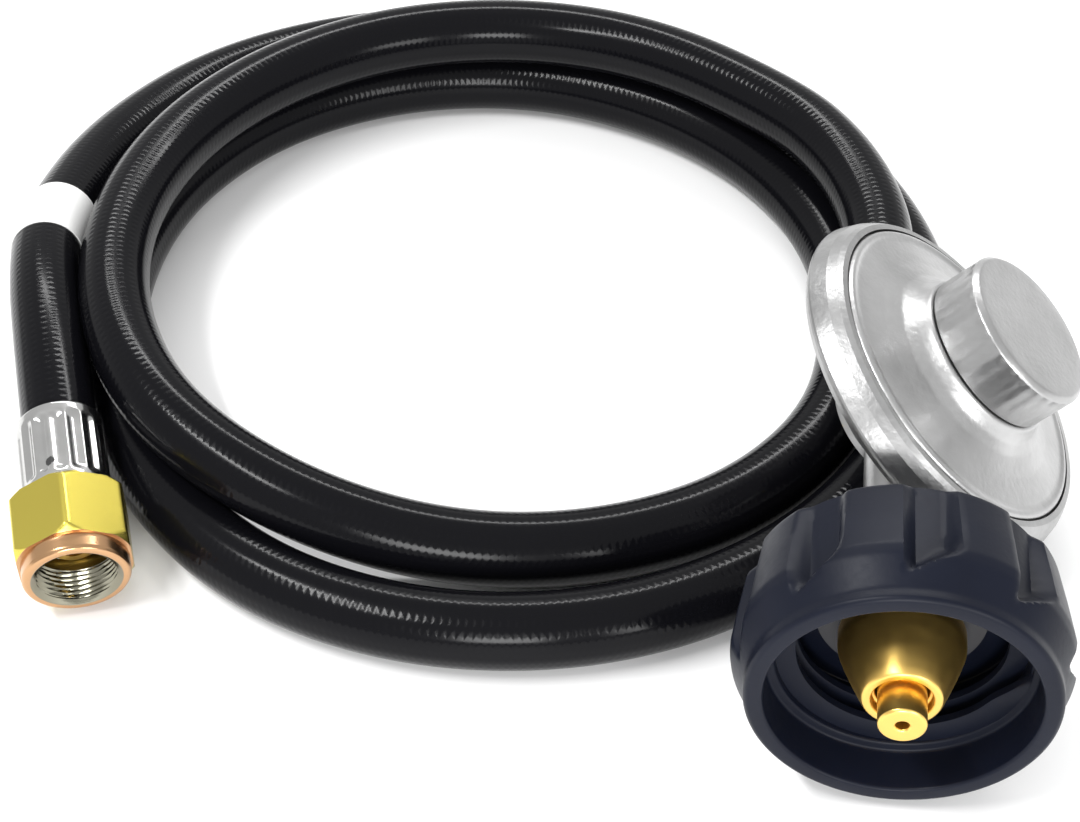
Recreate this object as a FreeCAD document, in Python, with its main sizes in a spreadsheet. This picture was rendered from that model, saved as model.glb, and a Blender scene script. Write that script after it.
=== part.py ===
"""Propane regulator with a coiled hose: one closed FreeCAD document, written out piece by piece.

Row frame, millimetres: +Z up, +Y from the hand nut's mouth towards the outlet. The inlet axis is level and
runs along Y. The regulator's disc leans to the right, so its own pieces are drawn upright, with the disc's axis
as Z and the inlet axis as Y, and are then tilted about Y. The hose lies on the ground at z = 0.
"""

import FreeCAD
import Part
import math
import os

import Sketcher

SIZES = {
    # where the regulator stands
    "axis_x": -1.98,
    "disc_y": 18.5,
    "axis_z": 28.0,
    "lean": 42.5,
    # lower casting and upper cover
    "rim_r": 33.5,
    "rim_top": 13.8,
    "seat_r": 31.0,
    "ledge_z": 6.9,
    "flange_top": 12.2,
    "well_r": 12.0,
    "well_z": -3.7,
    "diaphragm_z": 8.5,
    "boss_r": 10.5,
    "boss_z": -6.6,
    "bar_r": 6.6,
    "inlet_boss_r": 10.0,
    "inlet_face": 42.2,
    "outlet_dx": 1.69,
    "outlet_dz": -6.59,
    "outlet_boss_r": 7.4,
    "outlet_bore_r": 4.8,
    "outlet_face": 22.0,
    "tower_r": 11.2,
    "tower_bore_r": 9.8,
    "tower_top": 27.6,
    "shoulder_z": 20.0,
    "cap_r": 14.8,
    "cap_top": 29.8,
    # diaphragm stack
    "plate_r": 14.5,
    "plate_z": 9.8,
    "stem_r": 1.15,
    # valve
    "pivot_y": 8.5,
    "pivot_z": 2.6,
    "pivot_r": 0.6,
    "poppet_r": 1.6,
    "guide_gap": 0.08,
    # inlet nipple and hand nut
    "bullet_r": 10.5,
    "shank_r": 7.2,
    "thread_r": 6.0,
    "thread_end": 33.4,
    "orifice_r": 2.8,
    "probe_r": 4.05,
    "ring_y": 67.8,
    "probe_tip": 73.0,
    "mouth_y": 68.7,
    "rim_nut_r": 25.5,
    "lobe_r": 28.0,
    "mouth_r": 22.25,
    "crest_r": 17.2,
    "nut_back": 43.7,
    "flutes": 9,
    "first_flute": 46.0,
    # hose and its ends
    "hose_r": 7.0,
    "ferrule_r": 7.7,
    "flare_ferrule_r": 8.1,
    "barb_r": 3.9,
    "ferrule_long": 17.6,
    "outlet_ferrule_long": 12.0,
    "hex_across": 20.2,
    "collar_r": 9.7,
    "flare_thread_r": 7.2,
    "fitting_long": 34.6,
    # coil
    "coil_x": -82.58,
    "coil_y": 64.1,
    "coil_low": 13.0,
    "coil_high": 28.0,
}

# Where the flare end's hose leaves its ferrule, and the point that the nut's mouth is centred on,
# both counted from the regulator's axis, like every point of the hose below.
FLARE_EXIT = (-155.25, -10.94, 16.76)
FLARE_MOUTH = (-144.07, -43.24, 11.4)

# The hose from the flare end up to the coil, and from the coil to the outlet ferrule.
FLARE_LEAD = [
    FLARE_EXIT,
    (-160.91, 5.4, 19.47),
    (-167.0, 23.3, 20.6),
    (-171.4, 43.2, 17.7),
    (-173.0, 63.0, 14.0),
    (-169.9, 81.5, 12.6),
    (-164.6, 98.0, 12.6),
]
REGULATOR_LEAD = [
    (-3.2, 36.0, 22.0),
    (-3.2, 51.0, 22.0),
    (-5.2, 66.0, 22.0),
    (-9.8, 81.0, 22.0),
]
LABEL_AT = 3  # the label is centred on the bend at this point of the flare lead
LABEL_LONG = 16.0
LABEL_GAP = 0.25
LABEL_WALL = 0.25


class Size:
    """A number together with the sheet expression that gives it."""

    def __init__(self, value, text):
        self.value = float(value)
        self.text = text

    def _join(self, other, sign, value):
        return Size(value, f"({self.text} {sign} {as_size(other).text})")

    def __add__(self, other):
        return self._join(other, "+", self.value + as_size(other).value)

    def __sub__(self, other):
        return self._join(other, "-", self.value - as_size(other).value)

    def __mul__(self, other):
        return self._join(other, "*", self.value * as_size(other).value)

    def __truediv__(self, other):
        return self._join(other, "/", self.value / as_size(other).value)

    def __neg__(self):
        return Size(-self.value, f"(0 - {self.text})")


def as_size(item):
    return item if isinstance(item, Size) else Size(item, repr(float(item)))


doc = FreeCAD.newDocument("regulator_hose")
sheet = doc.addObject("Spreadsheet::Sheet", "Sizes")
for row, (word, number) in enumerate(SIZES.items(), start=1):
    sheet.set(f"A{row}", word)
    sheet.set(f"B{row}", str(number))
    sheet.setAlias(f"B{row}", word)
doc.recompute()
S = {word: Size(sheet.get(word), f"Sizes.{word}") for word in SIZES}
NODES = []


# ---------------------------------------------------------------- drawing


def plane(body, role):
    for feature in body.Origin.OriginFeatures:
        if feature.Role == role:
            return feature
    raise ValueError(role)


def new_body(label):
    body = doc.addObject("PartDesign::Body", label)
    body.Label = label
    NODES.append(body)
    return body


def new_sketch(body, role, lift=0):
    sketch = body.newObject("Sketcher::SketchObject", "Sketch")
    sketch.AttachmentSupport = [(plane(body, role), "")]
    sketch.MapMode = "FlatFace"
    sketch.setExpression("AttachmentOffset.Base.z", as_size(lift).text)
    return sketch


def pin_vertex(sketch, edge, end, point):
    """Ties one end of an edge to a place measured from the sketch's origin."""
    for kind, number in (("DistanceX", point[0]), ("DistanceY", point[1])):
        number = as_size(number)
        index = sketch.addConstraint(Sketcher.Constraint(kind, -1, 1, edge, end, number.value))
        sketch.setExpression(f"Constraints[{index}]", number.text)


def outline(sketch, points):
    """A closed outline of straight edges through the points."""
    corners = [FreeCAD.Vector(as_size(x).value, as_size(y).value, 0) for x, y in points]
    count = len(corners)
    for i in range(count):
        sketch.addGeometry(Part.LineSegment(corners[i], corners[(i + 1) % count]))
    for i in range(count):
        sketch.addConstraint(Sketcher.Constraint("Coincident", i, 2, (i + 1) % count, 1))
    for i in range(count):
        pin_vertex(sketch, i, 1, points[i])


def turn(body, role, profile, cut=False):
    """Revolves a profile of (radius, height) about the sketch's upright axis."""
    sketch = new_sketch(body, role)
    outline(sketch, profile)
    kind = "PartDesign::Groove" if cut else "PartDesign::Revolution"
    feature = body.newObject(kind, "Turn")
    feature.Profile = sketch
    feature.ReferenceAxis = (sketch, ["V_Axis"])
    feature.Angle = 360
    return feature


def disc_sketch(body, role, centre, radius, lift=0):
    sketch = new_sketch(body, role, lift)
    middle = FreeCAD.Vector(as_size(centre[0]).value, as_size(centre[1]).value, 0)
    sketch.addGeometry(Part.Circle(middle, FreeCAD.Vector(0, 0, 1), as_size(radius).value))
    pin_vertex(sketch, 0, 3, centre)
    index = sketch.addConstraint(Sketcher.Constraint("Radius", 0, as_size(radius).value))
    sketch.setExpression(f"Constraints[{index}]", as_size(radius).text)
    return sketch


def extrude(body, sketch, length, cut=False, both=False):
    """Pads or pockets a sketch along its plane's normal."""
    feature = body.newObject("PartDesign::Pocket" if cut else "PartDesign::Pad", "Extrude")
    feature.Profile = sketch
    feature.Midplane = both
    feature.Reversed = cut
    feature.setExpression("Length", as_size(length).text)
    return feature


def block(body, x_range, y_range, z_range, cut=False):
    """A box, drawn on the XY plane and extruded upwards."""
    sketch = new_sketch(body, "XY_Plane", z_range[0])
    (x0, x1), (y0, y1) = x_range, y_range
    outline(sketch, [(x0, y0), (x1, y0), (x1, y1), (x0, y1)])
    return extrude(body, sketch, as_size(z_range[1]) - z_range[0], cut)


def rod_along_y(body, centre, radius, start, end, cut=False):
    """A round bar or bore along +Y. The XZ plane's normal points along -Y."""
    sketch = disc_sketch(body, "XZ_Plane", centre, radius, -as_size(end))
    return extrude(body, sketch, as_size(end) - start, cut)


def hexagon(sketch, across):
    """A hexagon with a corner at the top, measured across its flats."""
    corner = as_size(across) / math.sqrt(3)
    turns = [math.radians(30 + 60 * i) for i in range(6)]
    outline(sketch, [(corner * math.cos(t), corner * math.sin(t)) for t in turns])


def coil_spring(label, radius, wire, low, high, turns):
    """A round wire wound on a helix about Z."""
    pitch = (high - low - 2 * wire) / turns
    helix = Part.makeHelix(pitch, high - low - 2 * wire, radius)
    start = FreeCAD.Vector(radius, 0, low + wire)
    helix.translate(FreeCAD.Vector(0, 0, low + wire))
    section = Part.Wire([Part.makeCircle(wire, start, FreeCAD.Vector(0, 1, pitch / (2 * math.pi * radius)))])
    spring = doc.addObject("Part::Feature", label)
    spring.Label = label
    spring.Shape = Part.Wire(helix.Edges).makePipeShell([section], True, True)
    NODES.append(spring)
    return spring


# ---------------------------------------------------------------- placing


def axis_point(x=0.0, y=0.0, z=0.0):
    """A point counted from the regulator's axis above the ground, in the row frame."""
    return FreeCAD.Vector(S["axis_x"].value + x, S["disc_y"].value + y, z)


def place_leaning(piece):
    """Stands a piece of the disc on the inlet axis and leans it to the right."""
    tilt = FreeCAD.Rotation(FreeCAD.Vector(0, 1, 0), S["lean"].value)
    piece.Placement = FreeCAD.Placement(axis_point(z=S["axis_z"].value), tilt)


def place_upright(piece):
    """Puts a piece that is drawn about the inlet axis on it, without the lean."""
    piece.Placement = FreeCAD.Placement(axis_point(z=S["axis_z"].value), FreeCAD.Rotation())


def flare_frame():
    """The flare end's place: Z from the hose's exit to the mouth, one hexagon corner upwards."""
    start, mouth = (axis_point(*p) for p in (FLARE_EXIT, FLARE_MOUTH))
    out = (mouth - start).normalize()
    side = out.cross(FreeCAD.Vector(0, 0, 1)).normalize()
    return FreeCAD.Placement(start, FreeCAD.Rotation(side, out.cross(side).negative(), out, "ZXY"))


# ---------------------------------------------------------------- regulator casing


def lower_casting():
    body = new_body("lower_casting")
    rim, top, seat, ledge = S["rim_r"], S["rim_top"], S["seat_r"], S["ledge_z"]
    lip = seat - 1.3
    flange = S["flange_top"] + 0.05
    turn(body, "XZ_Plane", [
        (0, S["boss_z"]), (S["boss_r"], S["boss_z"]), (S["boss_r"], S["boss_z"] + 1.1),
        (rim - 8.0, ledge - 3.3), (rim - 4.0, ledge - 1.9), (rim - 1.3, ledge - 0.6), (rim - 0.3, ledge + 0.6),
        (rim, ledge + 1.2), (rim, ledge + 1.6), (rim - 0.3, ledge + 2.5), (rim - 1.0, top - 2.5),
        (rim - 2.0, top - 0.9), (rim - 2.7, top - 0.1), (lip, top), (lip, flange), (seat, flange),
        (seat, ledge), (seat - 5.3, ledge), (S["well_r"], S["well_z"] + 2.1),
        (S["well_r"], S["well_z"]), (0, S["well_z"]),
    ])
    rod_along_y(body, (0, 0), S["bar_r"], -35.0, -6.0)
    rod_along_y(body, (0, 0), S["inlet_boss_r"], -S["inlet_face"], -34.4)
    rod_along_y(body, (S["outlet_dx"], S["outlet_dz"]), S["outlet_boss_r"], 4.0, S["outlet_face"])
    turn(body, "XZ_Plane", [
        (0, S["well_z"]), (S["well_r"], S["well_z"]), (S["well_r"], S["well_z"] + 2.1),
        (seat - 5.3, ledge), (seat, ledge), (seat, flange), (lip, flange), (lip, 18.0), (0, 18.0),
    ], cut=True)
    rod_along_y(body, (0, 0), S["orifice_r"] + 0.7, -22.5, -9.2)
    rod_along_y(body, (0, 0), S["thread_r"], -S["inlet_face"] - 1, -S["thread_end"], cut=True)
    rod_along_y(body, (0, 0), S["thread_r"] + 1.8, -S["inlet_face"] - 1, -40.4, cut=True)
    rod_along_y(body, (0, 0), 1.3, -S["thread_end"] - 0.5, -20.0, cut=True)
    rod_along_y(body, (0, 0), S["orifice_r"], -21.0, -9.0, cut=True)
    outlet = (S["outlet_dx"], S["outlet_dz"])
    rod_along_y(body, outlet, S["outlet_bore_r"], 13.5, S["outlet_face"] + 1, cut=True)
    rod_along_y(body, outlet, S["ferrule_r"] + 0.35, S["outlet_face"], 42.0, cut=True)
    rod_along_y(body, (S["outlet_dx"], S["outlet_dz"] + 1.6), 2.4, 5.0, 14.0, cut=True)
    block(body, (0.6, 3.4), (5.0, 7.2), (-8.0, S["well_z"] + 0.2), cut=True)
    for side in (-1, 1):
        near, far = sorted((side * 3.0, side * 5.4))
        block(body, (near, far), (S["pivot_y"] - 1.1, S["pivot_y"] + 1.1),
              (S["well_z"] - 0.3, S["pivot_z"] + 1.2))
    block(body, (-3.4, 3.4), (2.4, 4.6), (S["well_z"] - 0.3, 2.7))
    rod_along_y(body, (0, 0), S["poppet_r"] + S["guide_gap"], 2.0, 5.0, cut=True)
    pin = disc_sketch(body, "YZ_Plane", (S["pivot_y"], S["pivot_z"]), S["pivot_r"])
    extrude(body, pin, 14.0, cut=True, both=True)
    place_leaning(body)


def upper_cover():
    body = new_body("upper_cover")
    flange, ledge = S["flange_top"], S["ledge_z"]
    edge = S["seat_r"] - 0.2
    shoulder = S["shoulder_z"]
    bore = S["tower_bore_r"]
    turn(body, "XZ_Plane", [
        (edge, ledge + 1.2), (edge, flange), (29.4, flange), (29.3, flange + 1.5),
        (28.9, flange + 2.0), (28.3, flange + 2.1), (27.6, flange + 1.9), (27.0, flange + 1.9),
        (22.0, flange + 2.9), (18.4, flange + 4.1), (16.6, flange + 5.4), (15.7, flange + 6.7),
        (S["cap_r"] + 0.4, shoulder),
        (S["tower_r"], shoulder), (S["tower_r"], S["tower_top"]), (bore, S["tower_top"]),
        (bore, flange + 6.0), (13.0, flange + 5.6), (16.5, flange + 3.6), (22.0, flange + 1.0),
        (25.0, flange - 0.2), (25.4, flange - 2.0), (25.4, ledge + 1.2),
    ])
    vent = disc_sketch(body, "XY_Plane", (0, 20.0), 1.9, 6.0)
    extrude(body, vent, 12.0, cut=True)
    place_leaning(body)


def vent_screen():
    body = new_body("vent_screen")
    mesh = disc_sketch(body, "XY_Plane", (0, 20.0), 1.9, 14.3)
    extrude(body, mesh, 0.8)
    place_leaning(body)


def tower_cap():
    body = new_body("tower_cap")
    inner = S["tower_r"] + 0.1
    foot = S["shoulder_z"] + 0.2
    turn(body, "XZ_Plane", [
        (0, S["tower_top"] + 0.6), (inner, S["tower_top"] + 0.6), (inner, foot), (S["cap_r"], foot),
        (S["cap_r"], S["cap_top"] - 1.6), (S["cap_r"] - 1.6, S["cap_top"]), (0, S["cap_top"]),
    ])
    place_leaning(body)


def adjusting_screw():
    body = new_body("adjusting_screw")
    radius = S["tower_bore_r"] - 0.08
    low, high = S["tower_top"] - 2.8, S["tower_top"] - 0.2
    turn(body, "XZ_Plane", [(0, low), (radius, low), (radius, high), (0, high)])
    socket = new_sketch(body, "XY_Plane", high - 1.6)
    hexagon(socket, 8.0)
    extrude(body, socket, 3.0, cut=True)
    place_leaning(body)


# ---------------------------------------------------------------- diaphragm stack


def diaphragm():
    body = new_body("diaphragm")
    edge = S["seat_r"] - 0.2
    low = S["ledge_z"]
    middle = S["diaphragm_z"]
    hole = S["stem_r"] + 0.3
    turn(body, "XZ_Plane", [
        (hole, middle), (16.6, middle), (18.4, middle - 1.1), (21.6, middle - 1.1),
        (23.6, low + 0.3), (25.8, low), (edge, low), (edge, low + 1.2), (25.2, low + 1.2),
        (23.8, low + 1.5), (21.8, middle), (18.8, middle), (17.2, middle + 1.0), (hole, middle + 1.0),
    ])
    place_leaning(body)


def diaphragm_plate():
    body = new_body("diaphragm_plate")
    low = S["plate_z"]
    turn(body, "XZ_Plane", [
        (S["stem_r"], low), (S["plate_r"], low), (S["plate_r"] + 0.4, low + 1.0),
        (S["plate_r"] - 0.5, low + 1.0), (6.0, low + 1.0), (5.4, low + 3.0), (S["stem_r"], low + 3.0),
    ])
    place_leaning(body)


def diaphragm_stem():
    body = new_body("diaphragm_stem")
    shaft = S["stem_r"]
    turn(body, "XZ_Plane", [
        (0, 1.95), (1.8, 1.95), (1.8, 2.6), (shaft, 2.6), (shaft, S["plate_z"] + 8.0),
        (0, S["plate_z"] + 8.0),
    ])
    place_leaning(body)


def stem_nut():
    body = new_body("stem_nut")
    sketch = new_sketch(body, "XY_Plane", S["plate_z"] + 5.2)
    hexagon(sketch, 5.0)
    extrude(body, sketch, 1.8)
    bore = disc_sketch(body, "XY_Plane", (0, 0), S["stem_r"], S["plate_z"] + 5.0)
    extrude(body, bore, 3.0, cut=True)
    place_leaning(body)


def springs():
    plate = S["plate_z"].value
    low, high = plate + 1.05, S["tower_top"].value - 2.85
    place_leaning(coil_spring("main_spring", 7.4, 0.8, low, high, 5))
    place_leaning(coil_spring("relief_spring", 2.6, 0.35, plate + 3.02, plate + 5.18, 3))
    probe_spring = coil_spring("probe_spring", 2.9, 0.4, 0.0, 7.0, 5)
    backwards = FreeCAD.Rotation(FreeCAD.Vector(1, 0, 0), -90)
    probe_spring.Placement = FreeCAD.Placement(axis_point(y=-59.9, z=S["axis_z"].value), backwards)


# ---------------------------------------------------------------- valve


def valve_lever():
    body = new_body("valve_lever")
    pivot_y, pivot_z = S["pivot_y"], S["pivot_z"]
    sketch = new_sketch(body, "YZ_Plane")
    outline(sketch, [
        (-1.8, pivot_z + 0.55), (pivot_y - 0.9, pivot_z + 0.55), (pivot_y - 0.9, pivot_z - 3.4),
        (pivot_y + 0.5, pivot_z - 3.4), (pivot_y + 1.1, pivot_z - 1.4), (pivot_y + 1.1, pivot_z + 1.0),
        (pivot_y + 0.6, pivot_z + 1.45), (-1.8, pivot_z + 1.45),
    ])
    extrude(body, sketch, 5.4, both=True)
    block(body, (-1.4, 1.4), (-2.5, 1.5), (2.0, 6.0), cut=True)
    pin = disc_sketch(body, "YZ_Plane", (pivot_y, pivot_z), S["pivot_r"] + 0.05)
    extrude(body, pin, 14.0, cut=True, both=True)
    place_leaning(body)


def lever_pin():
    body = new_body("lever_pin")
    sketch = disc_sketch(body, "YZ_Plane", (S["pivot_y"], S["pivot_z"]), S["pivot_r"])
    extrude(body, sketch, 10.8, both=True)
    place_leaning(body)


def valve_poppet():
    body = new_body("valve_poppet")
    turn(body, "XY_Plane", [
        (0, -4.8), (2.6, -4.8), (2.6, -6.4), (3.3, -6.4), (3.3, -3.2), (S["poppet_r"], -2.6),
        (S["poppet_r"], S["pivot_y"] - 2.2), (0.8, S["pivot_y"] - 2.2), (0.8, S["pivot_y"] - 1.2),
        (0, S["pivot_y"] - 1.2),
    ])
    place_leaning(body)


def seat_disc():
    body = new_body("seat_disc")
    turn(body, "XY_Plane", [(0, -6.5), (2.6, -6.5), (2.6, -4.8), (0, -4.8)])
    place_leaning(body)


def inlet_orifice():
    body = new_body("inlet_orifice")
    turn(body, "XY_Plane", [
        (0.9, -20.0), (S["orifice_r"], -20.0), (S["orifice_r"], -9.0), (1.8, -8.6), (1.6, -7.75),
        (0.9, -7.75),
    ])
    place_leaning(body)


# ---------------------------------------------------------------- inlet


def inlet_nipple():
    body = new_body("inlet_nipple")
    bullet, shank, ring = S["bullet_r"], S["shank_r"], S["ring_y"]
    bore = S["probe_r"] + 0.1
    turn(body, "XY_Plane", [
        (2.4, -S["thread_end"]), (2.4, -52.8), (bore, -52.8), (bore, -ring + 2.0), (bore + 0.9, -ring + 2.0),
        (bore + 0.9, -ring), (bullet - 4.1, -ring), (bullet - 3.5, -ring + 1.2),
        (bullet - 2.1, -ring + 4.6), (bullet - 0.9, -ring + 7.8), (bullet - 0.1, -ring + 10.2),
        (bullet, -ring + 11.0), (bullet, -ring + 14.0), (shank, -50.4),
        (shank, -S["inlet_face"]), (S["thread_r"], -S["inlet_face"]),
        (S["thread_r"], -S["thread_end"]),
    ])
    place_upright(body)


def nipple_probe():
    body = new_body("nipple_probe")
    tip, radius = S["probe_tip"], S["probe_r"]
    turn(body, "XY_Plane", [
        (0.9, -tip), (radius - 0.35, -tip), (radius, -tip + 0.35), (radius, -60.0), (0.9, -60.0),
    ])
    place_upright(body)


def thermal_bushing():
    body = new_body("thermal_bushing")
    inner = S["shank_r"]
    turn(body, "XY_Plane", [
        (inner, -50.2), (14.2, -50.2), (14.2, -49.1), (12.2, -49.1), (12.2, -43.4), (inner, -43.4),
    ])
    place_upright(body)


def snap_ring():
    body = new_body("snap_ring")
    inner = S["shank_r"]
    turn(body, "XY_Plane", [(inner, -43.3), (13.4, -43.3), (13.4, -42.3), (inner, -42.3)])
    block(body, (-0.9, 0.9), (-44.0, -42.0), (5.0, 15.0), cut=True)
    place_upright(body)


def seal_ring():
    ring = doc.addObject("Part::Torus", "seal_ring")
    ring.Label = "seal_ring"
    ring.Radius1 = S["thread_r"].value + 0.9
    ring.Radius2 = 0.9
    seat = FreeCAD.Rotation(FreeCAD.Vector(1, 0, 0), 90)
    ring.Placement = FreeCAD.Placement(axis_point(y=-41.3, z=S["axis_z"].value), seat)
    NODES.append(ring)


def hand_nut():
    body = new_body("hand_nut")
    mouth, back = S["mouth_y"], S["nut_back"]
    rim, lobe, bore, crest = S["rim_nut_r"], S["lobe_r"], S["mouth_r"], S["crest_r"]
    turn(body, "XY_Plane", [
        (bore, -mouth), (rim - 0.6, -mouth), (rim, -mouth + 0.6), (rim, -mouth + 3.0),
        (lobe, -mouth + 9.6), (lobe - 2.0, -back - 1.0), (lobe - 3.0, -back), (12.3, -back),
        (12.3, -back - 5.0), (20.4, -back - 5.0), (20.4, -mouth + 16.0), (crest, -mouth + 15.0),
        (crest, -mouth + 9.0), (bore, -mouth + 8.0),
    ])
    flute = new_sketch(body, "XZ_Plane", back - 1.0)
    start = math.radians(S["first_flute"].value)
    corners = [(rim.value - 0.1, 0.0), (lobe.value + 2.0, -8.7), (lobe.value + 2.0, 8.7)]
    outline(flute, [
        (r * math.cos(start) - w * math.sin(start), r * math.sin(start) + w * math.cos(start))
        for r, w in corners
    ])
    cut = extrude(body, flute, mouth - back - 1.5, cut=True)
    spread = body.newObject("PartDesign::PolarPattern", "Flutes")
    spread.Originals = [cut]
    spread.Axis = (flute, ["N_Axis"])
    spread.Angle = 360
    spread.setExpression("Occurrences", S["flutes"].text)
    body.Tip = spread
    place_upright(body)


# ---------------------------------------------------------------- hose ends


def outlet_fitting():
    """The barbed stem in the casting's outlet, and the ferrule crimped on the hose behind it."""
    lean = math.radians(S["lean"].value)
    across, down = S["outlet_dx"].value, S["outlet_dz"].value
    side = across * math.cos(lean) + down * math.sin(lean)
    drop = down * math.cos(lean) - across * math.sin(lean)
    stem = new_body("outlet_stem")
    end = S["outlet_face"] + S["outlet_ferrule_long"] + 2.0
    thread = S["outlet_bore_r"]
    turn(stem, "XY_Plane", [
        (2.2, 13.6), (thread, 13.6), (thread, S["outlet_face"]), (7.0, S["outlet_face"]),
        (7.0, S["outlet_face"] + 2.0), (S["barb_r"], S["outlet_face"] + 2.0), (S["barb_r"], end),
        (2.2, end),
    ])
    ferrule = new_body("outlet_ferrule")
    start = S["outlet_face"] + 2.0
    ferrule_profile(ferrule, start, end)
    for piece in (stem, ferrule):
        piece.Placement = FreeCAD.Placement(
            axis_point(x=side, z=S["axis_z"].value + drop), FreeCAD.Rotation()
        )


def ferrule_profile(body, start, end):
    """A crimped sleeve about the sketch's Y axis, waisted in two bands."""
    outer = S["ferrule_r"]
    turn(body, "XY_Plane", [
        (S["barb_r"], start), (outer - 0.6, start), (outer, start + 0.8), (outer, start + 2.6),
        (outer - 0.25, start + 3.2), (outer - 0.25, end - 3.2), (outer, end - 2.6), (outer, end - 0.4),
        (outer - 0.3, end), (S["barb_r"], end),
    ])


def flare_fitting():
    """Ferrule, stem and swivel nut, drawn along Z from the hose's exit."""
    frame = flare_frame()
    long, barb = S["ferrule_long"], S["barb_r"]
    ferrule = new_body("flare_ferrule")
    outer = S["flare_ferrule_r"]
    turn(ferrule, "XZ_Plane", [
        (barb, 0), (outer - 0.3, 0), (outer, 0.4), (outer, 2.6), (outer - 0.25, 3.2),
        (outer - 0.25, long - 3.2), (outer, long - 2.6), (outer, long - 0.8), (outer - 0.6, long),
        (barb, long),
    ])
    peep = disc_sketch(ferrule, "XZ_Plane", (0, long - 5.0), 1.0, 0)
    hole = extrude(ferrule, peep, 12.0, cut=True)
    hole.Reversed = False
    stem = new_body("flare_stem")
    turn(stem, "XZ_Plane", [
        (2.2, 0), (barb, 0), (barb, long), (4.9, long), (4.9, long + 4.4), (6.9, long + 6.4),
        (6.9, long + 7.6), (3.4, long + 10.4), (2.2, long + 10.4),
    ])
    nut = new_body("flare_nut")
    total, thread = S["fitting_long"], S["flare_thread_r"]
    prism = new_sketch(nut, "XY_Plane", long + 0.5)
    hexagon(prism, S["hex_across"])
    extrude(nut, prism, total - long - 4.1)
    corner = S["hex_across"] / math.sqrt(3)
    turn(nut, "XZ_Plane", [
        (0, total - 4.0), (S["collar_r"] + 0.2, total - 4.0), (S["collar_r"], total - 3.2),
        (S["collar_r"], total - 0.7), (S["collar_r"] - 0.7, total), (0, total),
    ])
    turn(nut, "XZ_Plane", [
        (corner - 1.6, long), (corner + 1, long), (corner + 1, long + 2.4), (corner - 0.2, long + 2.4),
    ], cut=True)
    turn(nut, "XZ_Plane", [
        (corner - 2.2, total - 3.5), (corner + 1, total - 3.5), (corner + 1, total - 5.6),
        (corner - 0.1, total - 5.6),
    ], cut=True)
    turn(nut, "XZ_Plane", [
        (0, long), (5.0, long), (5.0, long + 4.2), (thread + 0.6, long + 7.0),
        (thread + 0.6, long + 10.0), (thread, long + 10.6), (thread, total - 0.8), (thread + 0.8, total + 0.1), (0, total + 0.1),
    ], cut=True)
    for piece in (ferrule, stem, nut):
        piece.Placement = frame


# ---------------------------------------------------------------- hose


def bend(before, corner, after):
    """The arc that rounds a corner: where it starts, its middle, where it ends, and its radius."""
    back, ahead = before - corner, after - corner
    reach = 0.45 * min(back.Length, ahead.Length)
    half_turn = (math.pi - back.getAngle(ahead)) / 2
    radius = reach / math.tan(half_turn)
    back.normalize()
    ahead.normalize()
    inward = (back + ahead).normalize()
    middle = corner + inward * (radius / math.cos(half_turn) - radius)
    return corner + back * reach, middle, corner + ahead * reach, radius


def tube_path(name, points):
    """Straight runs joined by arcs as large as their two runs allow."""
    edges = []
    radii = []
    last = points[0]
    for before, corner, after in zip(points, points[1:], points[2:]):
        enter, middle, leave, radius = bend(before, corner, after)
        edges.append(Part.LineSegment(last, enter).toShape())
        edges.append(Part.Arc(enter, middle, leave).toShape())
        radii.append(round(radius))
        last = leave
    edges.append(Part.LineSegment(last, points[-1]).toShape())
    print(name, "radii", radii)
    return Part.Wire(edges)


def sweep_round(wire, radius):
    start = wire.Edges[0]
    section = Part.Wire([Part.makeCircle(radius, start.valueAt(0), start.tangentAt(0))])
    return wire.makePipeShell([section], True, False)


def hose_lead(label, route):
    points = [axis_point(*p) for p in route]
    wire = tube_path(label, points)
    lead = doc.addObject("Part::Feature", label)
    lead.Label = label
    lead.Shape = sweep_round(wire, S["hose_r"].value)
    expected = math.pi * S["hose_r"].value ** 2 * wire.Length
    print(label, "length", round(wire.Length, 1), "volume ratio", round(lead.Shape.Volume / expected, 4))
    NODES.append(lead)


def hose_label():
    """A thin sleeve round the flare lead, centred on one of its gentle bends."""
    before, corner, after = (axis_point(*FLARE_LEAD[LABEL_AT + i]) for i in (-1, 0, 1))
    enter, middle, leave, radius = bend(before, corner, after)
    out = (leave - enter).normalize()
    sag = LABEL_LONG ** 2 / (16 * radius)
    centre = middle + (middle - corner).normalize() * sag
    sleeve = doc.addObject("Part::Cylinder", "label_sleeve")
    hollow = doc.addObject("Part::Cylinder", "label_hollow")
    for piece, gap in ((sleeve, LABEL_GAP + LABEL_WALL), (hollow, LABEL_GAP)):
        piece.setExpression("Radius", (S["hose_r"] + gap).text)
        piece.Height = LABEL_LONG
    label = boolean("Part::Cut", "hose_label", sleeve, hollow)
    label.Label = "hose_label"
    start = centre - out * (LABEL_LONG / 2)
    label.Placement = FreeCAD.Placement(start, FreeCAD.Rotation(FreeCAD.Vector(0, 0, 1), out))
    NODES.append(label)


def cylinder(name, centre, radius, low, high, sweep=360.0, start=0.0):
    piece = doc.addObject("Part::Cylinder", name)
    piece.setExpression("Radius", as_size(radius).text)
    piece.setExpression("Height", (as_size(high) - low).text)
    piece.Angle = sweep
    turn_to_start = FreeCAD.Rotation(FreeCAD.Vector(0, 0, 1), start)
    base = FreeCAD.Vector(as_size(centre[0]).value, as_size(centre[1]).value, as_size(low).value)
    piece.Placement = FreeCAD.Placement(base, turn_to_start)
    return piece


def boolean(kind, name, base, tool):
    result = doc.addObject(kind, name)
    result.Base, result.Tool = base, tool
    return result


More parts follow.
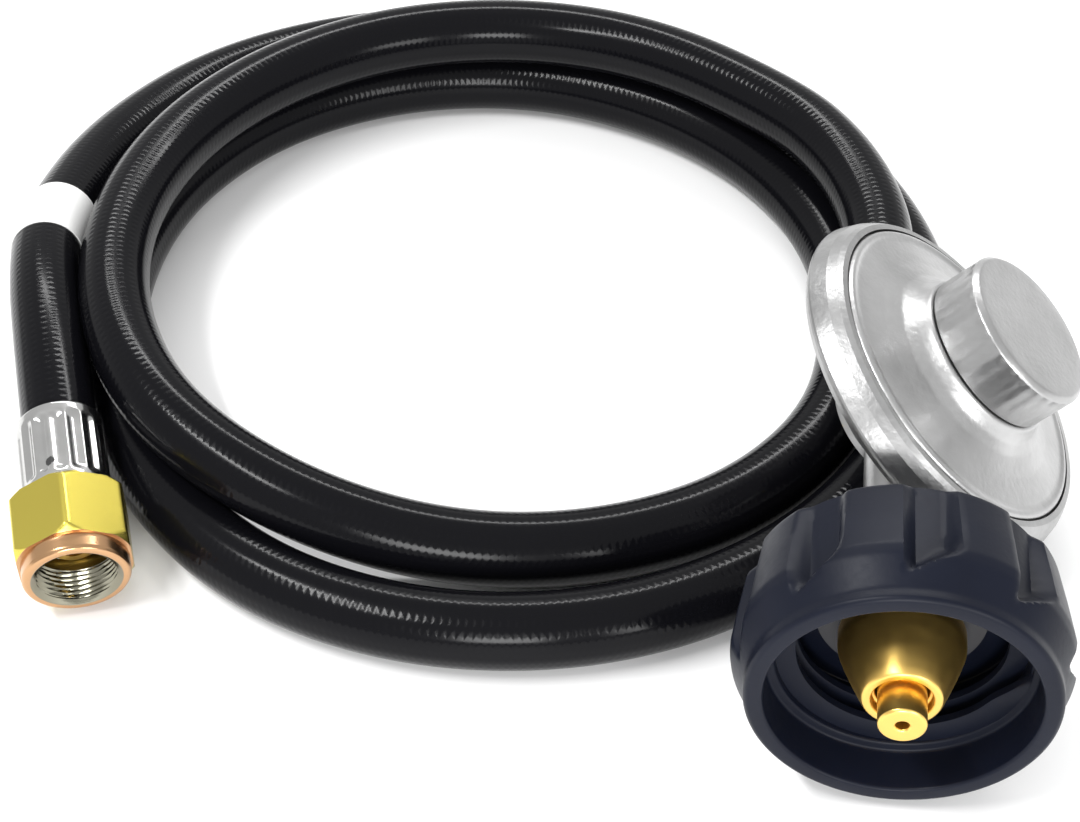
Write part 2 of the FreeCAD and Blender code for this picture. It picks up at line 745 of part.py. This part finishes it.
def room_for_lead(name, route, half_width, low, high):
    """A box that ends on the last face of a lead and reaches back along it."""
    before, end = (axis_point(*p) for p in route[-2:])
    along = FreeCAD.Vector(end.x - before.x, end.y - before.y, 0).normalize()
    heading = math.degrees(math.atan2(along.y, along.x))
    box = doc.addObject("Part::Box", name)
    box.Length, box.Width, box.Height = 60.0, 2 * half_width, high - low
    side = FreeCAD.Vector(-along.y, along.x, 0)
    corner = end - along * 60.0 - side * half_width
    corner.z = low
    box.Placement = FreeCAD.Placement(corner, FreeCAD.Rotation(FreeCAD.Vector(0, 0, 1), heading))
    return box


def hose_coil():
    """The coil's outer shape: a ring on the ground, notched where the flare end lies on its outer
    side, and a second storey where the last turn lies on the others."""
    x, y = S["coil_x"], S["coil_y"]
    low, high = S["coil_low"], S["coil_high"]
    ring = boolean(
        "Part::Cut", "ring",
        cylinder("ring_outside", (x - 1.3, y + 1.2), 98.0, 0, low),
        cylinder("ring_inside", (x - 2.8, y + 3.0), 66.5, -1, low + 1),
    )
    notch = boolean(
        "Part::Cut", "notch",
        cylinder("notch_outside", (x, y), 120.0, -2, low + 2, 85.0, 164.0),
        cylinder("notch_inside", (x, y), 84.0, -3, low + 3),
    )
    notched = boolean("Part::Cut", "notched_ring", ring, notch)
    storey = boolean(
        "Part::Cut", "storey",
        cylinder("storey_outside", (x, y), 82.0, low, high, 210.0, 22.0),
        cylinder("storey_inside", (x, y), 67.5, low - 1, high + 1),
    )
    heap = boolean("Part::Fuse", "heap", notched, storey)
    flare_room = room_for_lead("flare_room", FLARE_LEAD, 12.5, -1.0, 30.0)
    cleared = boolean("Part::Cut", "cleared_heap", heap, flare_room)
    outlet_room = room_for_lead("outlet_room", REGULATOR_LEAD, 18.0, low.value, 30.0)
    coil = boolean("Part::Cut", "hose_coil", cleared, outlet_room)
    coil.Label = "hose_coil"
    NODES.append(coil)


# ---------------------------------------------------------------- making


def make_all():
    lower_casting()
    upper_cover()
    vent_screen()
    tower_cap()
    adjusting_screw()
    diaphragm()
    diaphragm_plate()
    diaphragm_stem()
    stem_nut()
    springs()
    valve_lever()
    lever_pin()
    valve_poppet()
    seat_disc()
    inlet_orifice()
    inlet_nipple()
    nipple_probe()
    thermal_bushing()
    snap_ring()
    seal_ring()
    hand_nut()
    outlet_fitting()
    flare_fitting()
    hose_lead("hose_flare_lead", FLARE_LEAD)
    hose_lead("hose_regulator_lead", REGULATOR_LEAD)
    hose_label()
    hose_coil()


def check_and_write():
    doc.recompute()
    for item in doc.Objects:
        if "Invalid" in item.State or "Error" in item.State:
            raise RuntimeError(f"{item.Label} failed: {item.State}")
    os.makedirs("parts", exist_ok=True)
    for node in NODES:
        shape = node.Shape
        if shape.isNull() or not shape.isValid() or not shape.Solids:
            raise RuntimeError(f"{node.Label} has no valid solid")
        shape.exportStep(f"parts/{node.Label}.step")
        box = shape.BoundBox
        print(f"{node.Label:22s} solids {len(shape.Solids)} volume {shape.Volume:9.1f}",
              [round(v, 1) for v in (box.XMin, box.XMax, box.YMin, box.YMax, box.ZMin, box.ZMax)])


make_all()
check_and_write()
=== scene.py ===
"""The looks of a propane regulator with a coiled hose, on a pale floor under soft studio light.

Lengths in the tables are millimetres in the row frame unless a comment says otherwise; meshes are metres.
"""

import math

import bpy
from mathutils import Matrix, Vector


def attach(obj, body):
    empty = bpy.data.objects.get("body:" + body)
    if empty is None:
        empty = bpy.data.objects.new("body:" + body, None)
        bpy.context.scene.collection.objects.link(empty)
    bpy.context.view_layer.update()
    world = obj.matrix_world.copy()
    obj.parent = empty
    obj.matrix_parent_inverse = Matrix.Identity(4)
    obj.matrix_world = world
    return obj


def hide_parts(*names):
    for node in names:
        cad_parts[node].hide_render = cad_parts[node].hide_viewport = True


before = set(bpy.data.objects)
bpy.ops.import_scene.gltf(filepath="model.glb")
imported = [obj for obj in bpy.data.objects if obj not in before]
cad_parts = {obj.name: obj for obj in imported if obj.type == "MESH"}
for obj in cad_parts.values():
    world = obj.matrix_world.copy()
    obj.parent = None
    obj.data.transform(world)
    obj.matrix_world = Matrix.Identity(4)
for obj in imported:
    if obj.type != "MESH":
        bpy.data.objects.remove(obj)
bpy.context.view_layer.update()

MM = 0.001
TURN = 2 * math.pi
SHIFT = (-1.98, 18.5, 0.0)  # the regulator's axis, from which the tables below count
AXIS_Z = 28.0


def place(x, y, z):
    """A point counted from the regulator's axis, in metres in the row frame."""
    return Vector(((x + SHIFT[0]) * MM, (y + SHIFT[1]) * MM, (z + SHIFT[2]) * MM))


LEAN = Matrix.Translation(place(0, 0, AXIS_Z)) @ Matrix.Rotation(math.radians(42.5), 4, "Y")
# Z out of the hand nut's mouth, X kept, measured from the disc's middle
INLET = Matrix.Translation(place(0, 0, AXIS_Z)) @ Matrix.Rotation(math.radians(90), 4, "X")
FLARE_EXIT = (-155.25, -10.94, 16.76)
FLARE_MOUTH = (-144.07, -43.24, 11.4)


def flare_frame():
    out = (place(*FLARE_MOUTH) - place(*FLARE_EXIT)).normalized()
    side = out.cross(Vector((0, 0, 1))).normalized()
    up = side.cross(out)
    turned = Matrix((side, up, out)).transposed().to_4x4()
    return Matrix.Translation(place(*FLARE_EXIT)) @ turned


FLARE = flare_frame()

# ---------------------------------------------------------------- materials


def new_material(name, color, rough, metal=0.0, spec=0.5):
    mat = bpy.data.materials.new(name)
    mat.use_nodes = True
    shader = mat.node_tree.nodes["Principled BSDF"]
    shader.inputs["Base Color"].default_value = (*color, 1)
    shader.inputs["Roughness"].default_value = rough
    shader.inputs["Metallic"].default_value = metal
    shader.inputs["Specular IOR Level"].default_value = spec
    return mat, mat.node_tree, shader


def add(tree, kind, **inputs):
    node = tree.nodes.new(kind)
    for key, value in inputs.items():
        node.inputs[key.replace("_", " ")].default_value = value
    return node


def coordinates(tree, kind="Object"):
    return tree.nodes.new("ShaderNodeTexCoord").outputs[kind]


def noise(tree, scale):
    node = add(tree, "ShaderNodeTexNoise", Scale=scale, Detail=4.0)
    tree.links.new(coordinates(tree), node.inputs["Vector"])
    return node.outputs["Fac"]


def remap(tree, value, low, high):
    node = add(tree, "ShaderNodeMapRange")
    node.inputs["To Min"].default_value = low
    node.inputs["To Max"].default_value = high
    tree.links.new(value, node.inputs["Value"])
    return node.outputs["Result"]


def mix_color(tree, factor, dark, light):
    node = tree.nodes.new("ShaderNodeMix")
    node.data_type = "RGBA"
    node.inputs["A"].default_value = (*dark, 1)
    node.inputs["B"].default_value = (*light, 1)
    tree.links.new(factor, node.inputs["Factor"])
    return node.outputs["Result"]


def bump(tree, shader, height, strength, distance=0.0002):
    node = add(tree, "ShaderNodeBump", Strength=strength, Distance=distance)
    tree.links.new(height, node.inputs["Height"])
    tree.links.new(node.outputs["Normal"], shader.inputs["Normal"])


def mottled(name, dark, light, rough, metal=1.0, scale=900.0, strength=0.15, spec=0.5, spread=0.06):
    """Metal or plastic with a fine uneven skin."""
    mat, tree, shader = new_material(name, light, rough, metal, spec=spec)
    grain = noise(tree, scale)
    broad = noise(tree, scale / 12)
    tree.links.new(mix_color(tree, broad, dark, light), shader.inputs["Base Color"])
    tree.links.new(remap(tree, grain, rough - spread, rough + spread), shader.inputs["Roughness"])
    bump(tree, shader, grain, strength)
    return mat


def maths(tree, operation, first, second=None):
    """A Math node of two sockets, or of a socket and a number."""
    node = tree.nodes.new("ShaderNodeMath")
    node.operation = operation
    for socket, value in zip(node.inputs, (first, second)):
        if isinstance(value, (int, float)):
            socket.default_value = value
        elif value is not None:
            tree.links.new(value, socket)
    return node.outputs[0]


BRAID_STRANDS = 10.0  # ripples round the hose, each way


def braided(name):
    """Glossy black rubber in which the braid beneath shows as two crossing ripples."""
    mat, tree, shader = new_material(name, (0.003, 0.003, 0.004), 0.2, spec=0.12)
    split = tree.nodes.new("ShaderNodeSeparateXYZ")
    tree.links.new(coordinates(tree, "UV"), split.inputs["Vector"])
    waves = []
    for side in (-1.0, 1.0):
        around = maths(tree, "MULTIPLY", split.outputs["Y"], side * BRAID_STRANDS)
        turned = maths(tree, "MULTIPLY", maths(tree, "ADD", split.outputs["X"], around), TURN)
        waves.append(maths(tree, "SINE", turned))
    height = remap(tree, maths(tree, "MULTIPLY", waves[0], waves[1]), 0.0, 1.0)
    tree.links.new(remap(tree, noise(tree, 600.0), 0.12, 0.22), shader.inputs["Roughness"])
    bump(tree, shader, height, 0.16, 0.0002)
    return mat


CAST = mottled("die_cast", (0.22, 0.22, 0.22), (0.52, 0.52, 0.52), 0.36, 1.0, 900.0, 0.35)
COVER = mottled("cover_metal", (0.30, 0.30, 0.30), (0.62, 0.62, 0.62), 0.36, 1.0, 900.0, 0.35)
CAP = mottled("cap_metal", (0.30, 0.30, 0.30), (0.58, 0.58, 0.58), 0.34, 1.0, 900.0, 0.25)
BRASS = mottled("brass", (0.78, 0.48, 0.11), (0.92, 0.64, 0.19), 0.34, 1.0, 500.0, 0.06)
ZINC = mottled("yellow_zinc", (0.42, 0.34, 0.07), (0.80, 0.68, 0.12), 0.26, 1.0, 90.0, 0.04)
ROSE = mottled("rose_zinc", (0.40, 0.24, 0.10), (0.72, 0.42, 0.26), 0.24, 1.0, 120.0, 0.04)
THREAD = mottled("thread_zinc", (0.10, 0.09, 0.06), (0.34, 0.33, 0.26), 0.16, 1.0, 200.0, 0.04)
STEEL = mottled("plated_steel", (0.30, 0.30, 0.30), (0.80, 0.80, 0.78), 0.18, 1.0, 500.0, 0.12)
NAVY = mottled("navy_plastic", (0.003, 0.004, 0.009), (0.006, 0.008, 0.017), 0.40, 0.0, 900.0, 0.10, 0.15)
HEAT = mottled("heat_plastic", (0.03, 0.03, 0.035), (0.06, 0.06, 0.065), 0.5, 0.0, 600.0, 0.1)
RUBBER = mottled("seal_rubber", (0.012, 0.012, 0.012), (0.03, 0.03, 0.03), 0.6, 0.0, 900.0, 0.2)
WHITE = mottled("label_film", (0.80, 0.80, 0.79), (0.86, 0.86, 0.85), 0.35, 0.0, 900.0, 0.05)
MESH = mottled("vent_mesh", (0.25, 0.25, 0.25), (0.45, 0.45, 0.45), 0.45, 1.0, 3000.0, 0.5)
HOSE = braided("braided_rubber")

# ---------------------------------------------------------------- meshes


def finish_mesh(name, verts, faces, mats, where=None, smooth=True):
    mesh = bpy.data.meshes.new(name)
    mesh.from_pydata([tuple(v) for v in verts], [], faces)
    mesh.validate()
    for mat in mats:
        mesh.materials.append(mat)
    if where is not None:
        mesh.transform(where)
    obj = bpy.data.objects.new(name, mesh)
    bpy.context.scene.collection.objects.link(obj)
    if smooth:
        mesh.shade_smooth()
        mesh.set_sharp_from_angle(angle=math.radians(34))
    return obj


def rounded(profile, radius, steps=4):
    """A closed profile with each of its corners rounded by up to that radius."""
    out = []
    count = len(profile)
    for i, here in enumerate(profile):
        here = Vector(here)
        back = Vector(profile[i - 1]) - here
        ahead = Vector(profile[(i + 1) % count]) - here
        if here.x < 1e-6 or back.length < 1e-6 or ahead.length < 1e-6:
            out.append(tuple(here))
            continue
        cut = min(radius, back.length * 0.4, ahead.length * 0.4)
        start, end = here + back.normalized() * cut, here + ahead.normalized() * cut
        for k in range(steps + 1):
            t = k / steps
            out.append(tuple(start * (1 - t) ** 2 + here * 2 * t * (1 - t) + end * t * t))
    return out


def lathe(name, profile, mats, where, steps=128, shape=None):
    """Turns a closed profile of (radius, height) in millimetres about Z. shape(radius, height, angle)
    may give each point another radius."""
    verts, faces = [], []
    count = len(profile)
    for i in range(steps):
        angle = TURN * i / steps
        for r, z in profile:
            rr = shape(r, z, angle) if shape else r
            verts.append((rr * math.cos(angle) * MM, rr * math.sin(angle) * MM, z * MM))
    for i in range(steps):
        j = (i + 1) % steps
        for k in range(count):
            m = (k + 1) % count
            faces.append((i * count + k, j * count + k, j * count + m, i * count + m))
    return finish_mesh(name, verts, faces, mats, where)


def subdivide(profile, longest):
    """Adds points so that no side of the closed profile is longer than that."""
    out = []
    for i, here in enumerate(profile):
        there = profile[(i + 1) % len(profile)]
        count = max(1, math.ceil(math.dist(here, there) / longest))
        for k in range(count):
            t = k / count
            out.append((here[0] * (1 - t) + there[0] * t, here[1] * (1 - t) + there[1] * t))
    return out


def smoothstep(low, high, value):
    t = min(1.0, max(0.0, (value - low) / (high - low)))
    return t * t * (3 - 2 * t)


# ---------------------------------------------------------------- hose

HOSE_R = 7.0
COIL_X, COIL_Y = -80.6, 45.6
# The hose from the outlet ferrule to the coil, then the coil's own (radius, height) every 22.5 degrees,
# then from the coil to the flare end's ferrule.
OUTLET_LEAD = [
    (-3.2, 36.0, 22.0), (-3.2, 51.0, 22.0), (-5.2, 66.0, 22.0), (-11.6, 81.8, 22.0),
    (-22.4, 96.2, 22.0),
]
COIL_START, COIL_STEP = 67.5, 22.5
COIL = [
    (76.4, 21.5), (76.7, 21.2), (77.0, 21.2), (76.9, 21.2),
    (76.7, 21.4), (76.7, 21.7), (77.4, 21.8), (78.3, 20.3),
    (75.0, 14.9), (72.2, 9.0), (72.6, 7.0), (75.7, 7.0),
    (76.6, 7.0), (74.4, 7.0), (74.0, 7.0), (74.6, 7.0),
    (75.9, 7.0), (78.3, 7.0), (79.8, 7.0), (81.0, 7.0),
    (80.5, 7.0), (79.3, 7.0), (79.7, 7.0), (83.4, 7.0),
    (88.3, 7.0), (90.6, 7.0), (92.0, 7.0), (92.1, 7.0),
    (91.4, 7.0), (89.3, 7.0), (88.6, 7.0), (89.0, 7.0),
    (90.3, 7.0), (92.8, 7.0), (97.9, 7.0), (100.5, 7.9), (96.6, 11.6), (92.1, 17.4),
]
FLARE_LEAD = [(-168.4, 27.2, 20.4), (-160.91, 5.4, 19.47), FLARE_EXIT]


def hose_points():
    points = list(OUTLET_LEAD)
    for i, (radius, height) in enumerate(COIL):
        angle = math.radians(COIL_START + COIL_STEP * i)
        points.append((COIL_X + radius * math.cos(angle), COIL_Y + radius * math.sin(angle), height))
    return points + FLARE_LEAD


def hose_line():
    """The NURBS centreline, and the points read from it."""
    curve = bpy.data.curves.new("hose_line", "CURVE")
    curve.dimensions = "3D"
    spline = curve.splines.new("NURBS")
    controls = [place(*p) for p in hose_points()]
    spline.points.add(len(controls) - 1)
    for point, control in zip(spline.points, controls):
        point.co = (*control, 1)
    spline.order_u = 3
    spline.use_endpoint_u = True
    spline.resolution_u = 28
    holder = bpy.data.objects.new("hose_line", curve)
    bpy.context.scene.collection.objects.link(holder)
    bpy.context.view_layer.update()
    read = bpy.data.meshes.new_from_object(holder.evaluated_get(bpy.context.evaluated_depsgraph_get()))
    points = [v.co.copy() for v in read.vertices]
    bpy.data.objects.remove(holder)
    return points


def lengths_along(points):
    total = [0.0]
    for a, b in zip(points, points[1:]):
        total.append(total[-1] + (b - a).length)
    return total


def respace(points, step):
    """The same line, with its points a constant distance apart."""
    along = lengths_along(points)
    count = max(2, round(along[-1] / step))
    out, k = [], 0
    for i in range(count + 1):
        want = along[-1] * i / count
        while k < len(points) - 2 and along[k + 1] < want:
            k += 1
        t = (want - along[k]) / (along[k + 1] - along[k])
        out.append(points[k].lerp(points[k + 1], min(1.0, t)))
    return out


def frames_along(points):
    """A tangent and two sides at each point, carried on without twist."""
    frames = []
    side = None
    for i, here in enumerate(points):
        tangent = (points[min(i + 1, len(points) - 1)] - points[max(i - 1, 0)]).normalized()
        if side is None:
            side = tangent.cross(Vector((0, 0, 1))).normalized()
        side = (side - tangent * side.dot(tangent)).normalized()
        frames.append((here, tangent, side, tangent.cross(side)))
    return frames


def tube(name, points, radius, mats, steps, uv_pitch=None):
    """A round tube of that radius in metres, closed at both ends, following the points."""
    frames = frames_along(points)
    along = lengths_along(points)
    verts, faces, coords = [], [], []
    for (here, tangent, side, up), s in zip(frames, along):
        for k in range(steps):
            angle = TURN * k / steps
            verts.append(here + (side * math.cos(angle) + up * math.sin(angle)) * radius)
    rings = len(points)
    for i in range(rings - 1):
        for k in range(steps):
            m = (k + 1) % steps
            faces.append((i * steps + k, (i + 1) * steps + k, (i + 1) * steps + m, i * steps + m))
            if uv_pitch:
                u0, u1 = along[i] / uv_pitch, along[i + 1] / uv_pitch
                v0, v1 = k / steps, (k + 1) / steps
                coords += [(u0, v0), (u1, v0), (u1, v1), (u0, v1)]
    for ring, flip in ((0, False), (rings - 1, True)):
        loop = [ring * steps + k for k in range(steps)]
        faces.append(tuple(reversed(loop)) if flip else tuple(loop))
        coords += [(0.0, 0.0)] * steps
    obj = finish_mesh(name, verts, faces, mats, smooth=True)
    if uv_pitch:
        layer = obj.data.uv_layers.new(name="UVMap")
        if len(layer.data) == len(coords):
            layer.data.foreach_set("uv", [c for pair in coords for c in pair])
    return obj


line = hose_line()
path = respace(line, 0.0016)
HOSE_LENGTH = lengths_along(path)[-1]
print("hose length", round(HOSE_LENGTH, 4))
hose = tube("hose", path, HOSE_R * MM, [HOSE], 40, uv_pitch=0.0028)
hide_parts("hose_coil", "hose_flare_lead", "hose_regulator_lead")
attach(hose, "regulator")

# ---------------------------------------------------------------- label on the hose

LABEL_BACK, LABEL_LONG = 0.0656, 0.0175  # its far edge's distance from the flare ferrule, and its length


def label_band():
    along = lengths_along(path)
    low, high = HOSE_LENGTH - LABEL_BACK, HOSE_LENGTH - LABEL_BACK + LABEL_LONG
    part = [p for p, s in zip(path, along) if low <= s <= high]
    return tube("label_band", respace(part, 0.001), (HOSE_R + 0.22) * MM, [WHITE], 64)


label = label_band()
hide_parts("hose_label")
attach(label, "regulator")

# ---------------------------------------------------------------- flare end


def hex_radius(flat, angle, soft):
    """The radius of a hexagon of that half width, a corner up, its corners rounded off."""
    step = TURN / 6
    turned = (angle - math.pi / 2 + step / 2) % step - step / 2
    corner = flat / math.cos(step / 2)
    return min(flat / math.cos(step / 2 - abs(turned)), corner - soft)


def paint_by_place(obj, frame_of_piece, choose):
    """Gives each face the material that its middle's radius and height call for."""
    back = frame_of_piece.inverted()
    for face in obj.data.polygons:
        middle = back @ face.center
        face.material_index = choose(math.hypot(middle.x, middle.y) / MM, middle.z / MM)


def flare_nut_part(r, z):
    """Which of the nut's three materials: the hexagon's, the collar's or the inside's."""
    if r < 8.1 and z > 21:
        return 2
    return 1 if z > 31.1 else 0


HEX_HALF = 10.1
HEX_BACK, HEX_FRONT = 18.1, 31.0  # the hexagon's two ends
THREAD_R, THREAD_DEEP, THREAD_PITCH = 7.2, 0.6, 1.0
THREAD_BACK, THREAD_FRONT = 27.4, 33.9


def flare_nut_shape(r, z, angle):
    """Hexagon between its two chamfers, round elsewhere; a helical thread in the mouth."""
    if r > 9.95 and z < HEX_FRONT + 0.2:
        chamfer = 10.6 + min(z - HEX_BACK, HEX_FRONT - z) * 0.9
        return min(hex_radius(HEX_HALF, angle, 0.15), max(chamfer, HEX_HALF))
    if r < 8.0 and THREAD_BACK < z < THREAD_FRONT:
        phase = (z / THREAD_PITCH - angle / TURN) % 1.0
        return THREAD_R + THREAD_DEEP * abs(phase - 0.5) * 2
    return r


nut_profile = subdivide(
    [
        (5.0, 18.1), (11.6, 18.1), (11.6, 30.8), (9.75, 31.2),
        (9.7, 31.8), (9.7, 33.9), (9.4, 34.4), (9.0, 34.6),
        (8.2, 34.6), (7.6, 34.2), (7.2, 33.9), (7.2, 28.0), (7.8, 27.5), (7.8, 24.6), (5.0, 21.9),
    ],
    0.25,
)
flare_nut = lathe("swivel_nut", nut_profile, [ZINC, ROSE, THREAD], FLARE, 180, flare_nut_shape)
paint_by_place(flare_nut, FLARE, flare_nut_part)
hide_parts("flare_nut")
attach(flare_nut, "flare_swivel")


def ferrule_shape(r, z, angle):
    """Sixteen crimped flutes round the middle of the sleeve."""
    if r < 6.5:
        return r
    depth = 0.6 * smoothstep(1.6, 3.6, z) * (1 - smoothstep(14.2, 15.9, z))
    return r - depth * (0.5 + 0.5 * math.cos(16 * angle)) ** 0.7


ferrule_profile = subdivide(rounded([(4.0, 0.0), (8.15, 0.0), (8.15, 17.6), (4.0, 17.6)], 0.5), 0.25)
HOLE_AT = (1.32, 13.2)  # angle about the fitting, in radians, and distance from the hose end
HOLE_R = 0.9


def near_hole(point):
    angle = math.atan2(point.y, point.x)
    sideways = (angle - HOLE_AT[0]) * 7.5
    return math.hypot(sideways, point.z / MM - HOLE_AT[1]) < HOLE_R


flare_ferrule = lathe("crimp_sleeve", ferrule_profile, [STEEL, RUBBER], FLARE, 240, ferrule_shape)
ferrule_back = FLARE.inverted()
for face in flare_ferrule.data.polygons:
    middle = ferrule_back @ face.center
    if math.hypot(middle.x, middle.y) > 6.4 * MM and near_hole(middle):
        face.material_index = 1
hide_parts("flare_ferrule")
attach(flare_ferrule, "regulator")

# ---------------------------------------------------------------- hand nut

FLUTES = 9
FIRST_FLUTE = math.radians(46)
FLUTE_FLOOR = 24.3
FLUTE_FLAT, FLUTE_EDGE = 0.13, 0.26  # half widths of a flute's floor and mouth, in flute spacings
FLUTE_END, FLUTE_SLANT = 61.4, 14.0  # where it runs out, and how far that leans across its width


def nut_shape(r, z, angle):
    """Flutes run from the back and end on a slant before the plain rim."""
    if r < 23.6:
        return r
    step = TURN / FLUTES
    off = ((angle - FIRST_FLUTE + step / 2) % step - step / 2) / step
    inside = 1 - smoothstep(FLUTE_FLAT, FLUTE_EDGE, abs(off))
    end = FLUTE_END + FLUTE_SLANT * off
    floor = FLUTE_FLOOR + 4.0 * smoothstep(end - 3.2, end + 2.2, z)
    return min(r, r + (floor - r) * inside)


nut_outer = [
    (12.3, 43.7), (25.0, 43.7), (26.0, 44.7), (27.1, 52.0),
    (28.0, 59.1), (27.7, 61.0), (25.9, 65.2), (25.5, 66.2),
    (25.5, 68.1), (24.9, 68.7),
    (22.6, 68.7), (22.25, 68.3), (22.25, 60.6), (20.6, 60.2), (20.6, 48.7), (12.3, 48.7),
]
hand_nut = lathe("grip_nut", subdivide(rounded(nut_outer, 0.5, 3), 0.9), [NAVY], INLET, 240, nut_shape)


def thread_land():
    """A single flat-topped thread that winds from the back of the nut's hollow to its front step."""
    turns, steps = 1.9, 220
    section = [(20.9, -1.5), (18.2, -1.1), (17.3, -0.7), (17.3, 0.7), (18.2, 1.1), (20.9, 1.5)]
    verts, faces = [], []
    for i in range(steps + 1):
        t = i / steps
        angle = TURN * turns * t + 0.7
        z = 51.0 + 8.2 * t
        scale = smoothstep(0.0, 0.05, t) * (1 - smoothstep(0.95, 1.0, t))
        for r, dz in section:
            rr = 20.9 - (20.9 - r) * scale
            verts.append((rr * math.cos(angle) * MM, rr * math.sin(angle) * MM, (z + dz) * MM))
    n = len(section)
    for i in range(steps):
        for k in range(n):
            m = (k + 1) % n
            faces.append((i * n + k, i * n + m, (i + 1) * n + m, (i + 1) * n + k))
    faces.append(tuple(range(n)))
    faces.append(tuple(steps * n + k for k in reversed(range(n))))
    return finish_mesh("grip_nut_thread", verts, faces, [NAVY], INLET)


land = thread_land()
for piece in (hand_nut, land):
    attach(piece, "hand_nut_body")
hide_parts("hand_nut")

# ---------------------------------------------------------------- brass nose

nose_profile = [
    (2.4, 33.5), (6.0, 33.5), (6.0, 42.2), (7.2, 42.2),
    (7.2, 50.4), (10.5, 53.8), (10.5, 56.8), (10.4, 57.6),
    (9.6, 60.0), (8.4, 63.2), (7.0, 66.6), (6.4, 67.8), (5.25, 67.8), (5.0, 67.5), (5.0, 66.0),
    (4.35, 65.8), (4.35, 52.8), (2.4, 52.8),
]
nose = lathe("brass_nose", rounded(nose_profile, 0.5), [BRASS], INLET, 128)
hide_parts("inlet_nipple")
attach(nose, "regulator")
probe_profile = [(1.1, 60.0), (4.0, 60.0), (4.0, 72.6), (3.6, 73.0), (1.4, 73.0), (1.1, 72.7)]
probe = lathe("brass_probe", rounded(probe_profile, 0.3), [BRASS], INLET, 96)
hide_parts("nipple_probe")
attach(probe, "probe")

# ---------------------------------------------------------------- disc and cap

cover_profile = [
    (30.8, 8.1), (30.8, 12.2), (29.4, 12.2), (29.3, 13.7),
    (28.9, 14.2), (28.3, 14.3), (27.6, 14.1), (27.0, 14.1),
    (22.0, 15.1), (18.4, 16.3), (16.6, 17.6), (15.7, 18.9),
    (15.2, 20.0), (11.2, 20.0), (11.2, 27.6), (9.8, 27.6),
    (9.8, 18.2), (13.0, 17.8), (16.5, 15.8), (22.0, 13.2), (25.0, 12.0), (25.4, 10.2), (25.4, 8.1),
]
cover = lathe("disc_cover", rounded(cover_profile, 0.5), [COVER], LEAN, 192)
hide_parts("upper_cover")
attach(cover, "regulator")


CAP_RIBS, CAP_WAVES = 34, 13


def cap_shape(r, z, angle):
    """Ribs of uneven depth round the cap's side."""
    if r < 14.3 or not 20.8 < z < 28.6:
        return r
    ribs = 0.05 * (1 + math.cos(CAP_RIBS * angle))
    waves = 0.03 * (1 + math.cos(CAP_WAVES * angle + 1.0))
    return r - ribs - waves


cap_profile = subdivide(
    rounded(
        [
            (11.3, 20.2), (14.5, 20.2), (14.8, 20.5), (14.8, 28.9),
            (13.9, 29.8), (0.0, 29.8), (0.0, 28.2),
            (11.3, 28.2),
        ],
        0.35, 3,
    ),
    1.6,
)
cap = lathe("round_cap", cap_profile, [CAP], LEAN, 480, cap_shape)
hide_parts("tower_cap")
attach(cap, "cap")

# ---------------------------------------------------------------- pieces kept from the design

KEPT = {
    "lower_casting": CAST, "vent_screen": MESH, "adjusting_screw": CAP, "diaphragm": RUBBER,
    "diaphragm_plate": STEEL, "diaphragm_stem": STEEL, "stem_nut": STEEL, "main_spring": STEEL,
    "relief_spring": STEEL, "probe_spring": STEEL, "valve_lever": STEEL, "lever_pin": STEEL,
    "valve_poppet": BRASS, "seat_disc": RUBBER, "inlet_orifice": BRASS, "thermal_bushing": HEAT,
    "snap_ring": STEEL, "seal_ring": RUBBER, "outlet_stem": BRASS, "outlet_ferrule": STEEL,
    "flare_stem": BRASS,
}
for name, mat in KEPT.items():
    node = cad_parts[name]
    node.data.materials.clear()
    node.data.materials.append(mat)

# ---------------------------------------------------------------- floor, light, camera


def floor():
    mat = new_material("pale_floor", (0.93, 0.93, 0.93), 0.6)[0]
    size = 6.0
    verts = [(-size, -size, 0), (size, -size, 0), (size, size, 0), (-size, size, 0)]
    obj = finish_mesh("floor", verts, [(0, 1, 2, 3)], [mat], smooth=False)


def softbox(name, at, aim, size, power):
    data = bpy.data.lights.new(name, "AREA")
    data.shape = "RECTANGLE"
    data.size, data.size_y = size
    data.energy = power
    obj = bpy.data.objects.new(name, data)
    obj.location = at
    obj.rotation_mode = "QUATERNION"
    obj.rotation_quaternion = (Vector(aim) - Vector(at)).to_track_quat("-Z", "Y")
    bpy.context.scene.collection.objects.link(obj)


def world_light():
    world = bpy.data.worlds.new("studio")
    world.use_nodes = True
    back = world.node_tree.nodes["Background"]
    back.inputs["Color"].default_value = (1, 1, 1, 1)
    back.inputs["Strength"].default_value = 0.8
    bpy.context.scene.world = world


def camera():
    data = bpy.data.cameras.new("camera")
    data.sensor_width = 36
    data.lens = 74.47
    data.clip_start = 0.01
    data.dof.use_dof = False
    obj = bpy.data.objects.new("camera", data)
    obj.location = place(-32.1, -297.6, 309.5)
    obj.rotation_mode = "QUATERNION"
    obj.rotation_quaternion = (place(-68.4, 20.8, 0) - obj.location).to_track_quat("-Z", "Y")
    bpy.context.scene.collection.objects.link(obj)
    bpy.context.scene.camera = obj


bpy.context.scene.view_settings.view_transform = "Standard"
floor()
softbox("key", (-0.5, -0.2, 0.9), (-0.07, 0.04, 0), (0.6, 0.08), 7.0)
softbox("fill", (0.5, -0.7, 0.35), (-0.02, 0.0, 0.03), (0.3, 0.3), 3.0)
softbox("front", (-0.02, -0.7, 0.3), (0.0, -0.04, 0.028), (0.22, 0.22), 3.0)
softbox("back", (-0.1, 0.8, 0.8), (-0.07, 0.04, 0), (1.0, 0.07), 6.0)
world_light()
camera()
